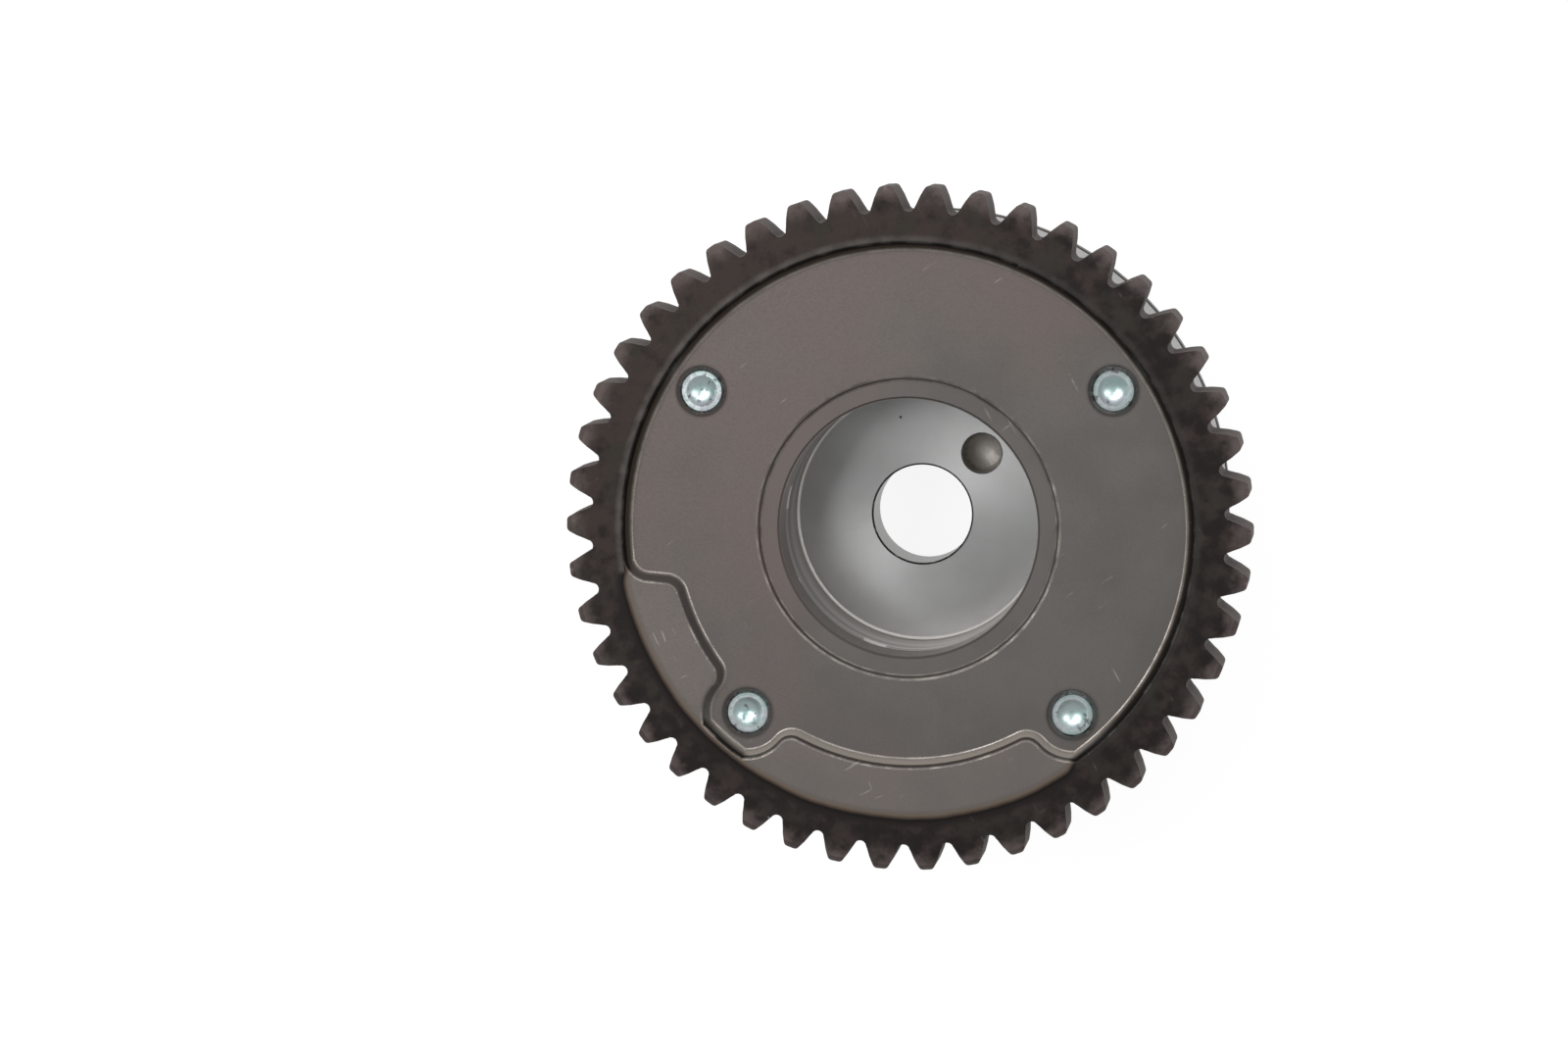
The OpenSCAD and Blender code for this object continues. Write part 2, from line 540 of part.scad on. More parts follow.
sprocket_plate();
housing();
front_cover();
rotor();
vane_seal(seal_angles[0]);  // vane_seal_1
vane_seal(seal_angles[1]);  // vane_seal_2
vane_seal(seal_angles[2]);  // vane_seal_3
vane_seal(seal_angles[3]);  // vane_seal_4
vane_spring(seal_angles[0]);  // vane_spring_1
vane_spring(seal_angles[1]);  // vane_spring_2
vane_spring(seal_angles[2]);  // vane_spring_3
vane_spring(seal_angles[3]);  // vane_spring_4
shoe_seal(bolt_angles[0]);  // shoe_seal_1
shoe_seal(bolt_angles[1]);  // shoe_seal_2
shoe_seal(bolt_angles[2]);  // shoe_seal_3
shoe_seal(bolt_angles[3]);  // shoe_seal_4
shoe_spring(bolt_angles[0]);  // shoe_spring_1
shoe_spring(bolt_angles[1]);  // shoe_spring_2
shoe_spring(bolt_angles[2]);  // shoe_spring_3
shoe_spring(bolt_angles[3]);  // shoe_spring_4
lock_pin();
lock_spring();
spring_seat();
lock_bush();
locating_pin();
cover_bolts();
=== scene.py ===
# %% [markdown]
# # Cam phaser, camshaft side up
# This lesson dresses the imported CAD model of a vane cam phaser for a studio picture.
# The solids already have every real shape and size, so the work here is finish: sintered
# steel with a heat-tinted toothed ring, turned steel, aluminium and bright zinc bolts.
# Every length is in metres, in the frame of the CAD model.

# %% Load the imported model
import json
import math
from types import SimpleNamespace

import bpy
from mathutils import Matrix, Vector

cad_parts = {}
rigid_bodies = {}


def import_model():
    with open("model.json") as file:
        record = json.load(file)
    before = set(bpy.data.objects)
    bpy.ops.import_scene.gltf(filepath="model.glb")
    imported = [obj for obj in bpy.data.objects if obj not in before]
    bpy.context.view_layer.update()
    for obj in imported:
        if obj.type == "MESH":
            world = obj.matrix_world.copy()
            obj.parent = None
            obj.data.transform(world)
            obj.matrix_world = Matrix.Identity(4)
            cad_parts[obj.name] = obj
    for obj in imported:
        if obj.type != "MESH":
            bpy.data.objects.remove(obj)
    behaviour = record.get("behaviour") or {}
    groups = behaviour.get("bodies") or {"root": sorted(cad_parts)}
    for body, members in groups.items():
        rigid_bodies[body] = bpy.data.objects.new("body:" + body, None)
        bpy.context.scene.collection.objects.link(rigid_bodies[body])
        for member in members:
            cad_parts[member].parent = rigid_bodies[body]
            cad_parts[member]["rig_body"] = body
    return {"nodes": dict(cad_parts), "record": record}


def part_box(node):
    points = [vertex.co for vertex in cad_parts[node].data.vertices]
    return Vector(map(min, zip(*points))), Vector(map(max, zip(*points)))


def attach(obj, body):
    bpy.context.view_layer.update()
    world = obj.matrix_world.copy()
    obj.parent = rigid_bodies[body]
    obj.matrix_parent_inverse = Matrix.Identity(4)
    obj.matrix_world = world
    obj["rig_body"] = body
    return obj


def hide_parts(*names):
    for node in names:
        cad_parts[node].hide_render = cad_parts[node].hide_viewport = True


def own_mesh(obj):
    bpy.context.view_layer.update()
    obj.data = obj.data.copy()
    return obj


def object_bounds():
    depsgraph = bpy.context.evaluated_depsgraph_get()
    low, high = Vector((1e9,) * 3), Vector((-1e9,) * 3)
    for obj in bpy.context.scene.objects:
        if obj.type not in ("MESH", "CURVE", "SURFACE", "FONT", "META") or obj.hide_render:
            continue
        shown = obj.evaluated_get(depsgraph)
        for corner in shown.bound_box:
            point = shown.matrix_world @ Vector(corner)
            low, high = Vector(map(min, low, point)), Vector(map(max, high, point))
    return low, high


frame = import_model()
cad_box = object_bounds()
MM = 0.001
scene = bpy.context.scene
scene.view_settings.view_transform = "Standard"


def in_mm(length):
    return round(length / MM, 2)


print("nodes:", len(frame["nodes"]), "size in mm:", [in_mm(v) for v in cad_box[1] - cad_box[0]])

# %% [markdown]
# ## Levels and radii of the plate
# The finishes change at real places: the hardened ring begins at a radius, the sunken field
# lies at a level. They could be painted on by hand, but paint stays behind when a part moves
# or grows. So the tooth tips and the ring's face are read from the plate's box, and the rest
# repeats the sizes of the CAD model. A span is a start and an end, in millimetres from a place.

# %% Read the places on the plate
plate_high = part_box("sprocket_plate")[1]
TIP_R = plate_high.x
RING_Z = plate_high.z
TOOTH_H = 3.56 * MM
ROOT_R = TIP_R - TOOTH_H
FIELD_R = 37.75 * MM
WALL_W = 1.45 * MM
RING_R = FIELD_R + WALL_W
FIELD_DEPTH = 2.0 * MM
FIELD_Z = RING_Z - FIELD_DEPTH


def span_at(base, start, end):
    return base + start * MM, base + end * MM


print("tips at", in_mm(TIP_R), "mm, ring face at", in_mm(RING_Z), "mm")

# %% [markdown]
# ## Small helpers for node materials
# A procedural finish is a handful of nodes that turn a place on the part into a number, and
# numbers into colour, roughness and bump. The nodes could be added one by one in each finish,
# but the recipes would be long. These helpers add a node or two each, so that every finish
# below reads as a short recipe. A finish starts from plain values, and patterns then vary them.

# %% Start a finish and fill a socket
def start_finish(name, metallic, roughness):
    material = bpy.data.materials.new(name)
    material.use_nodes = True
    tree = material.node_tree
    shader = tree.nodes["Principled BSDF"]
    shader.inputs["Metallic"].default_value = metallic
    shader.inputs["Roughness"].default_value = roughness
    return material, tree, shader


def put(tree, value, socket):
    if isinstance(value, bpy.types.NodeSocket):
        tree.links.new(value, socket)
    else:
        socket.default_value = value


print("helpers ready: a new finish, a filled socket")

# %% [markdown]
# ## Places as numbers
# A pattern needs to know where on the part it is. Generated and UV coordinates stretch with
# each mesh. Object coordinates don't, and every part sits at the origin, so the pattern stays
# on the metal at its real size. Radius, height and the way along a bearing follow from them.

# %% Radius, height and bearing
FLAT = (1, 1, 0)


def place(tree):
    return tree.nodes.new("ShaderNodeTexCoord").outputs["Object"]


def vector_node(tree, operation, a, b=(0, 0, 0)):
    node = tree.nodes.new("ShaderNodeVectorMath")
    node.operation = operation
    put(tree, a, node.inputs[0])
    put(tree, b, node.inputs[1])
    return node


def scaled(tree, vector, factors):
    return vector_node(tree, "MULTIPLY", vector, factors).outputs["Vector"]


def shifted(tree, vector, origin):
    return vector_node(tree, "SUBTRACT", vector, origin).outputs["Vector"]


def radius(tree, vector):
    return vector_node(tree, "LENGTH", scaled(tree, vector, FLAT)).outputs["Value"]


def direction(degrees):
    turn = math.radians(degrees)
    return Vector((math.cos(turn), math.sin(turn), 0))


def along(tree, vector, degrees):
    return vector_node(tree, "DOT_PRODUCT", vector, direction(degrees)).outputs["Value"]


def upward(tree, vector):
    node = tree.nodes.new("ShaderNodeSeparateXYZ")
    put(tree, vector, node.inputs[0])
    return node.outputs["Z"]


print("helpers ready: radius, way along a bearing, height")

# %% [markdown]
# ## Numbers from numbers
# Masks are numbers between 0 and 1 that say where a layer shows. A fade rises softly over a
# span, and a span of four numbers also gives the values at its two ends. A band is a rise and
# a fall. Hard steps would be simpler, but no border on worn metal is that sharp. Noise gives
# each place a value of its own, the same in every run, and makes a radius waver.

# %% Fades and bands
def joined(tree, kind, *values):
    total = values[0]
    for value in values[1:]:
        node = tree.nodes.new("ShaderNodeMath")
        node.operation = kind
        put(tree, total, node.inputs[0])
        put(tree, value, node.inputs[1])
        total = node.outputs[0]
    return total


def times(tree, *values):
    return joined(tree, "MULTIPLY", *values)


def fade(tree, value, span, kind="SMOOTHSTEP"):
    low, high, at_low, at_high = (*span, 0.0, 1.0)[:4]
    node = tree.nodes.new("ShaderNodeMapRange")
    node.interpolation_type = kind
    put(tree, value, node.inputs["Value"])
    node.inputs["From Min"].default_value = low
    node.inputs["From Max"].default_value = high
    node.inputs["To Min"].default_value = at_low
    node.inputs["To Max"].default_value = at_high
    return node.outputs["Result"]


def band(tree, value, spans):
    rise, fall = spans
    return times(tree, fade(tree, value, rise), fade(tree, value, fall))


print("helpers ready: joined numbers, fades, bands")

# %% Noise
NOISE_ROUGHNESS = 0.55
NOISE_MIDDLE = 0.5


def noise(tree, vector, scale, detail=3.0):
    node = tree.nodes.new("ShaderNodeTexNoise")
    put(tree, vector, node.inputs["Vector"])
    node.inputs["Scale"].default_value = scale
    node.inputs["Detail"].default_value = detail
    node.inputs["Roughness"].default_value = NOISE_ROUGHNESS
    return node.outputs["Fac"]


def wavered(tree, value, pattern, width):
    waver = times(tree, joined(tree, "SUBTRACT", pattern, NOISE_MIDDLE), width)
    return joined(tree, "ADD", value, waver)


print("helpers ready: noise, wavering values")

# %% [markdown]
# ## Colour, bump and marks
# Colours are laid over each other, each with a mask for its amount. Bump bends the light
# where a grain is too fine to model. Specks are the cores of a few Voronoi cells. Scratches
# are a noise that is stretched along one bearing and cut off high, which leaves thin lines.

# %% Colour and bump helpers
def ramp(tree, value, stops):
    node = tree.nodes.new("ShaderNodeValToRGB")
    put(tree, value, node.inputs["Fac"])
    while len(node.color_ramp.elements) < len(stops):
        node.color_ramp.elements.new(0.5)
    for element, (position, colour) in zip(node.color_ramp.elements, stops):
        element.position = position
        element.color = (*colour, 1.0)
    return node.outputs["Color"]


def mixed(tree, amount, a, b):
    node = tree.nodes.new("ShaderNodeMix")
    node.data_type = "RGBA"
    put(tree, amount, node.inputs["Factor"])
    for colour, socket in ((a, node.inputs["A"]), (b, node.inputs["B"])):
        put(tree, (*colour, 1.0) if isinstance(colour, tuple) else colour, socket)
    return node.outputs["Result"]


def bumped(tree, height, strength, depth):
    node = tree.nodes.new("ShaderNodeBump")
    node.inputs["Strength"].default_value = strength
    node.inputs["Distance"].default_value = depth
    put(tree, height, node.inputs["Height"])
    return node.outputs["Normal"]


print("helpers ready: ramp, mix, bump")

# %% Speck and scratch helpers
SPECK_CORE = 0.4
SCRATCH_SOFTNESS = 0.05


def specks(tree, vector, scale, size, share):
    node = tree.nodes.new("ShaderNodeTexVoronoi")
    put(tree, vector, node.inputs["Vector"])
    node.inputs["Scale"].default_value = scale
    near = fade(tree, node.outputs["Distance"], (size, size * SPECK_CORE))
    tint = tree.nodes.new("ShaderNodeSeparateColor")
    put(tree, node.outputs["Color"], tint.inputs[0])
    chosen = joined(tree, "GREATER_THAN", tint.outputs[0], 1.0 - share)
    return times(tree, near, chosen)


def scratches(tree, vector, turn, scale, stretch, cut):
    node = tree.nodes.new("ShaderNodeMapping")
    node.vector_type = "TEXTURE"
    put(tree, vector, node.inputs["Vector"])
    node.inputs["Rotation"].default_value = (0, 0, math.radians(turn))
    node.inputs["Scale"].default_value = (1, 1 / stretch, 1)
    lines = noise(tree, node.outputs["Vector"], scale, detail=1.0)
    return fade(tree, lines, (cut, cut + SCRATCH_SOFTNESS))


def crossed_scratches(tree, vector, rows):
    return joined(tree, "MAXIMUM", *(scratches(tree, vector, **row) for row in rows))


print("helpers ready: specks, scratches")

# %% [markdown]
# ## Sintered steel of the sprocket plate
# The plate is pressed from iron powder and steam treated, and its teeth are then induction
# hardened. One finish can show all of that from the radius and the height, with noise to break
# the borders, and needs no painted picture. It is built up in layers: each function below
# takes the colour so far and lays one thing over it. First come the patterns that they share.
# Towards the two pads the heat reached less far in, so elsewhere the tint's radius is shifted.

# %% Patterns that the plate's layers share
PADS_AT = 247.0
BEYOND_PADS = (0.56, 0.50, 0.0, 0.9 * MM)
TINT_WAVER = 0.7 * MM
LIT_SIDE = 145


def towards(tree, at, r, degrees):
    return joined(tree, "DIVIDE", along(tree, at, degrees), r)


def plate_patterns(tree):
    at = place(tree)
    r = radius(tree, at)
    cloud = noise(tree, at, scale=90, detail=4.0)
    beyond_pads = fade(tree, towards(tree, at, r, PADS_AT), BEYOND_PADS)
    tint_r = joined(tree, "ADD", wavered(tree, r, cloud, TINT_WAVER), beyond_pads)
    return SimpleNamespace(
        at=at, r=r, z=upward(tree, at), cloud=cloud, beyond_pads=beyond_pads, tint_r=tint_r,
        patch=noise(tree, at, scale=420), grain=noise(tree, at, scale=5000, detail=2.0),
        from_left=along(tree, at, LIT_SIDE))


print("pads at", PADS_AT, "degrees")

# %% [markdown]
# ## Satin skin of the field and the pads
# Steam leaves a warm grey satin skin with pores that are finer than the eye can part. Modelled
# pores would be millions of faces, so a fine noise darkens them. Two slow noises change the
# tone over the plate, a little warmer at the upper left, and the pads are rubbed lighter.

# %% Skin layer
FIELD_LIGHT = (0.144, 0.131, 0.122)
FIELD_DARK = (0.126, 0.115, 0.108)
FIELD_WARM = (0.156, 0.129, 0.121)
PAD_RUBBED = (0.172, 0.150, 0.141)
PORE_DARK = (0.08, 0.07, 0.065)
CLOUD_SPAN = (0.35, 0.65)
WARM_SIDE = 140
WARM_LEAN = (-25 * MM, 35 * MM, -0.12, 0.16)
WARM_SPAN = (0.42, 0.72)
PAD_FACE = span_at(RING_Z, -0.3, -0.05)
PAD_CLOUD = (0.30, 0.60, 0.4, 1.0)
PORE_SPAN = (0.35, 0.75, 0.0, 0.16)


def satin_skin(tree, spot):
    skin = mixed(tree, fade(tree, spot.cloud, CLOUD_SPAN), FIELD_LIGHT, FIELD_DARK)
    drift = noise(tree, spot.at, scale=40, detail=2.0)
    warmth = joined(tree, "ADD", drift, fade(tree, along(tree, spot.at, WARM_SIDE), WARM_LEAN))
    skin = mixed(tree, fade(tree, warmth, WARM_SPAN), skin, FIELD_WARM)
    rubbed = times(tree, fade(tree, spot.z, PAD_FACE), fade(tree, spot.cloud, PAD_CLOUD))
    skin = mixed(tree, rubbed, skin, PAD_RUBBED)
    return mixed(tree, fade(tree, spot.grain, PORE_SPAN), skin, PORE_DARK)


print("skin layer from", FIELD_DARK, "to", PAD_RUBBED)

# %% [markdown]
# ## Temper colours and the hardened ring
# Induction hardening heats only the teeth. The ring runs nearly black, and the skin beside it
# takes the straw and brown colours of tempered steel. A colour ramp over the radius has just
# this order of colours, and the wavering radius keeps its borders from being perfect circles.

# %% Heat layer
STRAW = (0.142, 0.113, 0.089)
TEMPER_BROWN = (0.066, 0.046, 0.035)
SEAM_BLACK = (0.006, 0.0042, 0.0035)
RING_BLACK = (0.015, 0.0112, 0.0102)
RING_WARM = (0.040, 0.029, 0.0255)
RING_OLIVE = (0.032, 0.0275, 0.0225)
TEMPER_STOPS = [(0.08, FIELD_DARK), (0.34, STRAW), (0.50, TEMPER_BROWN),
                (0.62, SEAM_BLACK), (0.84, RING_BLACK)]
TEMPER_SPAN = (38.3 * MM, 40.6 * MM)
TEMPER_START = (38.2 * MM, 39.0 * MM)
RING_START = (40.1 * MM, 41.2 * MM)
RING_LIGHTER_SIDE = 125
RING_LIGHTER_LEAN = (5 * MM, 45 * MM, 0.0, 0.20)
RING_LIGHTER_SPAN = (0.38, 0.72)
OLIVE_SPAN = (0.50, 0.68, 0.0, 0.8)


def heat_tint(tree, spot, body):
    tint = ramp(tree, fade(tree, spot.tint_r, TEMPER_SPAN, kind="LINEAR"), TEMPER_STOPS)
    body = mixed(tree, fade(tree, spot.tint_r, TEMPER_START), body, tint)
    # The ring is lighter in patches and towards the upper left.
    lean = fade(tree, along(tree, spot.at, RING_LIGHTER_SIDE), RING_LIGHTER_LEAN)
    ring_lighter = fade(tree, joined(tree, "ADD", spot.patch, lean), RING_LIGHTER_SPAN)
    ring = mixed(tree, ring_lighter, RING_BLACK, RING_WARM)
    olive = fade(tree, noise(tree, spot.at, scale=230), OLIVE_SPAN)
    ring = mixed(tree, olive, ring, RING_OLIVE)
    return mixed(tree, fade(tree, spot.tint_r, RING_START), body, ring)


print("temper colours over", [in_mm(edge) for edge in TEMPER_SPAN], "mm")

# %% [markdown]
# ## Wall round the field
# A low wall leads from the ring down to the field. On the lower side of the plate, where it faces
# the lamp at the far end, its slope is painted pale as painted light, with a dark top line. Beside
# the ring it is dark, partly with scale and partly as painted shade, painted browner and lighter
# towards the lit upper left, with a black seam under the ring and a lip that is faintly rubbed and
# partly a painted highlight. Each tone could be a material on its own faces, but they run into
# each other, so they are laid on by height, radius and bearing.

# %% Painted light on the lower wall
WALL_PAINTED_LIGHT = (0.36, 0.32, 0.28)
WALL_TOP = (0.10, 0.088, 0.080)
LOWER_SIDE = 270
LOWER_SPAN = (0.60, 0.85)
SLOPE_BAND = span_at(FIELD_Z, 0.02, 0.30), span_at(FIELD_Z, 1.45, 1.15)
TOP_BAND = span_at(FIELD_Z, 1.2, 1.5), span_at(RING_Z, -0.10, -0.25)


# Painted light: the slope on the lower side is painted pale, as if lit by the far lamp, with a dark
# line along its top.
def lower_wall(tree, spot, body):
    lower = fade(tree, towards(tree, spot.at, spot.r, LOWER_SIDE), LOWER_SPAN)
    painted_lit_slope = times(tree, lower, band(tree, spot.z, SLOPE_BAND))
    top_line = times(tree, lower, band(tree, spot.z, TOP_BAND))
    body = mixed(tree, painted_lit_slope, body, WALL_PAINTED_LIGHT)
    return mixed(tree, top_line, body, WALL_TOP), painted_lit_slope


print("wall from", in_mm(FIELD_Z), "to", in_mm(RING_Z), "mm")

# %% Dark wall and lip, with painted shade and a painted highlight
WALL_BLACK = (0.020, 0.015, 0.013)
WALL_BROWN = (0.088, 0.067, 0.052)
WEAR_AND_HIGHLIGHT_STEEL = (0.31, 0.28, 0.255)
WALL_HEIGHT = span_at(RING_Z, -0.02, -0.12)
WALL_BAND = span_at(FIELD_R, 0.25, 0.95), span_at(RING_R, 1.0, 0.5)
BROWN_LEAN = (-15 * MM, 25 * MM)
SEAM_HEIGHT = span_at(RING_Z, -0.80, -0.50)
LIP_HEIGHT = span_at(RING_Z, -0.10, -0.02)
LIP_BEYOND_PADS = (0.4 * MM, 0.8 * MM)
LIP_BAND = span_at(RING_R, -0.15, 0.10), span_at(RING_R, 1.1, 0.3)
LIP_LEAN = (-5 * MM, 42 * MM, 0.06, 0.20)
LIP_PATCH = (0.36, 0.66, 0.7, 1.2)


# The dark wall is partly scale and partly painted shade, and it is painted browner and lighter
# towards the lit upper left.
def dark_wall(tree, spot, body):
    wall = times(tree, fade(tree, spot.z, WALL_HEIGHT), band(tree, spot.r, WALL_BAND))
    tone = mixed(tree, fade(tree, spot.from_left, BROWN_LEAN), WALL_BLACK, WALL_BROWN)
    tone = mixed(tree, fade(tree, spot.z, SEAM_HEIGHT), tone, SEAM_BLACK)
    return mixed(tree, wall, body, tone)


# The lip is partly rubbed steel and partly a painted highlight that grows towards the lit upper
# left.
def rubbed_lip_and_highlight(tree, spot, body):
    lip = times(tree, fade(tree, spot.z, LIP_HEIGHT), fade(tree, spot.beyond_pads, LIP_BEYOND_PADS),
                band(tree, spot.r, LIP_BAND), fade(tree, spot.from_left, LIP_LEAN),
                fade(tree, spot.patch, LIP_PATCH))
    return mixed(tree, lip, body, WEAR_AND_HIGHLIGHT_STEEL)


print("ring's lip at", in_mm(RING_R), "mm")

# %% [markdown]
# ## Teeth
# The tooth tips are rubbed lighter, and the flanks are painted a lighter, duller grey. The tips
# are found by the radius, with a coarse waver, and the flanks by how steep the surface stands. A
# vertex colour could do it too, but only as fine as the mesh, and the CAD flanks have few points.

# %% Tooth layer
TIP_GREY = (0.120, 0.096, 0.090)
FLANK_GREY = (0.150, 0.128, 0.120)
TIP_WAVER = 4.0 * MM
TIP_SPAN = (ROOT_R + 0.8 * MM, TIP_R + 0.4 * MM)
STEEP_SPAN = (0.75, 0.25)
FLANK_START = span_at(ROOT_R, -0.3, 0.0)


def rubbed_teeth(tree, spot, body):
    tip_r = wavered(tree, spot.r, spot.patch, TIP_WAVER)
    body = mixed(tree, fade(tree, tip_r, TIP_SPAN), body, TIP_GREY)
    normal = tree.nodes.new("ShaderNodeTexCoord").outputs["Normal"]
    level = joined(tree, "ABSOLUTE", upward(tree, normal), 0.0)
    flank = times(tree, fade(tree, level, STEEP_SPAN), fade(tree, spot.r, FLANK_START))
    return mixed(tree, flank, body, FLANK_GREY), flank


print("teeth from", in_mm(ROOT_R), "to", in_mm(TIP_R), "mm")

# %% [markdown]
# ## Worn edges and painted highlights
# Where hands and trays touch a plate, the lip of the wall loses the skin and shines, and part
# of its shine is a painted highlight. The bright line at the foot of the wall and two thin lines
# at the step round the bore are painted highlights. A Pointiness mask is the quick way to find
# edges, but it is only as even as the mesh, so the edges' own heights and radii are used. A
# coarse noise breaks the lines.

# %% Edge mask
INSIDE_RING = span_at(RING_R, 0.4, 0.2)
EDGE_LIP = span_at(RING_Z, -0.40, -0.10), span_at(RING_Z, -0.003, -0.02)
EDGE_LIP_TINT = (39.4 * MM, 38.7 * MM, 0.15, 1.0)
EDGE_LIP_BROKEN = (0.44, 0.62, 0.08, 0.75)
EDGE_FOOT = span_at(FIELD_Z, 0.003, 0.02), span_at(FIELD_Z, 0.65, 0.12)
EDGE_FOOT_BROKEN = (0.36, 0.60, 0.55, 1.0)
COUNTER_R = 20.1 * MM
INNER_LINE = span_at(COUNTER_R, 0.0, 0.04), span_at(COUNTER_R, 0.30, 0.22)
OUTER_LINE = span_at(COUNTER_R, 0.46, 0.54), span_at(COUNTER_R, 0.84, 0.78)
STEP_BROKEN = (0.38, 0.62, 0.10, 0.60)


# Worn steel on the lip, and painted highlights at the foot of the wall and on the two step lines.
def edge_wear_and_highlights(tree, spot):
    inside = fade(tree, spot.r, INSIDE_RING)
    lip = times(tree, band(tree, spot.z, EDGE_LIP), inside,
                fade(tree, spot.tint_r, EDGE_LIP_TINT), fade(tree, spot.patch, EDGE_LIP_BROKEN))
    foot = times(tree, band(tree, spot.z, EDGE_FOOT), inside,
                 fade(tree, spot.patch, EDGE_FOOT_BROKEN))
    lines = joined(tree, "MAXIMUM", band(tree, spot.r, INNER_LINE), band(tree, spot.r, OUTER_LINE))
    step = times(tree, lines, fade(tree, spot.patch, STEP_BROKEN))
    return joined(tree, "MAXIMUM", lip, foot, step)


print("step round the bore at", in_mm(COUNTER_R), "mm")

# %% [markdown]
# ## Nicks and scratches
# The ring has small bright nicks, the plate a few long scratches, and the pads a net of short
# ones from whatever they rest against. They are too shallow to model. Each is a mask of its own
# bearing, size and place, and all are laid on as bare steel.

# %% Mask of handling marks
BARE_STEEL = (0.5, 0.47, 0.44)
NICK_START = span_at(RING_R, -1.0, 0.0)
LONG_SCRATCHES = (dict(turn=35, scale=110, stretch=14, cut=0.74),
                  dict(turn=-62, scale=90, stretch=16, cut=0.74))
LONG_PATCH = (0.45, 0.65)
LONG_AMOUNT = (RING_R + MM, RING_R, 0.08, 0.3)
PAD_SCRATCHES = (dict(turn=25, scale=260, stretch=7, cut=0.70),
                 dict(turn=-70, scale=240, stretch=8, cut=0.70))
PAD_TOP = span_at(RING_Z, -0.5, -0.3)
PAD_REACH = (38.4 * MM, 37.6 * MM)
PAD_PATCH = (0.45, 0.60)
PAD_AMOUNT = 0.35


def handling_marks(tree, spot):
    nick = times(tree, specks(tree, spot.at, scale=420, size=0.055, share=0.13),
                 fade(tree, spot.r, NICK_START))
    long_ones = times(tree, crossed_scratches(tree, spot.at, LONG_SCRATCHES),
                      fade(tree, spot.patch, LONG_PATCH), fade(tree, spot.r, LONG_AMOUNT))
    on_pads = times(tree, crossed_scratches(tree, spot.at, PAD_SCRATCHES),
                    fade(tree, spot.z, PAD_TOP), fade(tree, spot.r, PAD_REACH),
                    fade(tree, spot.cloud, PAD_PATCH), PAD_AMOUNT)
    return joined(tree, "MAXIMUM", nick, long_ones, on_pads)


print("scratch bearings:", [row["turn"] for row in LONG_SCRATCHES + PAD_SCRATCHES])

# %% [markdown]
# ## Bolt holes and bore
# The skin is darker in a soft rim round the bolt tips. The bore is machined after sintering, so
# its wall is bare steel, browner at the lower left. Both are found by their distance from an axis.
# The distance to the nearest bolt serves the zinc bolts as well.

# %% Rim and bore layer
BOLTS_R = 33.8 * MM
BOLTS_AT = (33.75, 146.25, 228.75, 311.25)
RIM_DARK = (0.034, 0.029, 0.027)
RIM_SPAN = (4.0 * MM, 3.4 * MM, 0.0, 0.35)
BORE_R = 17.65 * MM
BORED_STEEL = (0.40, 0.365, 0.34)
BORED_BROWN = (0.19, 0.163, 0.147)
BORE_SIDE = 235
BORE_LEAN = (2 * MM, 14 * MM)
BORE_SPAN = span_at(BORE_R, 0.12, 0.02)


def nearest_bolt(tree, at):
    gaps = [radius(tree, shifted(tree, at, BOLTS_R * direction(turn))) for turn in BOLTS_AT]
    return joined(tree, "MINIMUM", *gaps)


def rims_and_bore(tree, spot, body):
    body = mixed(tree, fade(tree, nearest_bolt(tree, spot.at), RIM_SPAN), body, RIM_DARK)
    lean = fade(tree, along(tree, spot.at, BORE_SIDE), BORE_LEAN)
    bored = mixed(tree, lean, BORED_STEEL, BORED_BROWN)
    return mixed(tree, fade(tree, spot.r, BORE_SPAN), body, bored)


print("bolts at", BOLTS_AT, "degrees, bore", in_mm(BORE_R), "mm")

# %% [markdown]
# ## The plate's finish
# The layers are now laid over each other from the skin up. The lower wall's painted light and the
# tooth flanks reflect less like metal than the rest, the worn and highlighted edges are smoother
# than the skin, and the grain gives a faint bump. Several materials on one mesh would do too, but
# with hard borders.

# %% Lay the plate's layers
PLATE_METAL = (0.0, 1.0, 0.6, 0.1)
PLATE_SPECULAR = 0.32
SATIN_SPAN = (0.25, 0.75, 0.42, 0.58)
FLANK_ROUGHER = 0.3
WORN_SMOOTHER = 0.22


def sintered_plate():
    material, tree, shader = start_finish("sintered_plate", metallic=0.6, roughness=0.5)
    spot = plate_patterns(tree)
    body = heat_tint(tree, spot, satin_skin(tree, spot))
    body, painted_lit_slope = lower_wall(tree, spot, body)
    body = rubbed_lip_and_highlight(tree, spot, dark_wall(tree, spot, body))
    body, flank = rubbed_teeth(tree, spot, body)
    wear_and_highlight = edge_wear_and_highlights(tree, spot)
    body = mixed(tree, wear_and_highlight, body, WEAR_AND_HIGHLIGHT_STEEL)
    body = mixed(tree, handling_marks(tree, spot), body, BARE_STEEL)
    put(tree, rims_and_bore(tree, spot, body), shader.inputs["Base Color"])
    less_metallic = joined(tree, "MAXIMUM", flank, painted_lit_slope)
    put(tree, fade(tree, less_metallic, PLATE_METAL), shader.inputs["Metallic"])
    shader.inputs["Specular IOR Level"].default_value = PLATE_SPECULAR
    satin = joined(tree, "ADD", fade(tree, spot.grain, SATIN_SPAN),
                   times(tree, flank, FLANK_ROUGHER))
    put(tree, joined(tree, "SUBTRACT", satin, times(tree, wear_and_highlight, WORN_SMOOTHER)),
        shader.inputs["Roughness"])
    put(tree, bumped(tree, spot.grain, strength=0.10, depth=0.02 * MM), shader.inputs["Normal"])
    return material


plate_finish = sintered_plate()
print("made", plate_finish.name)

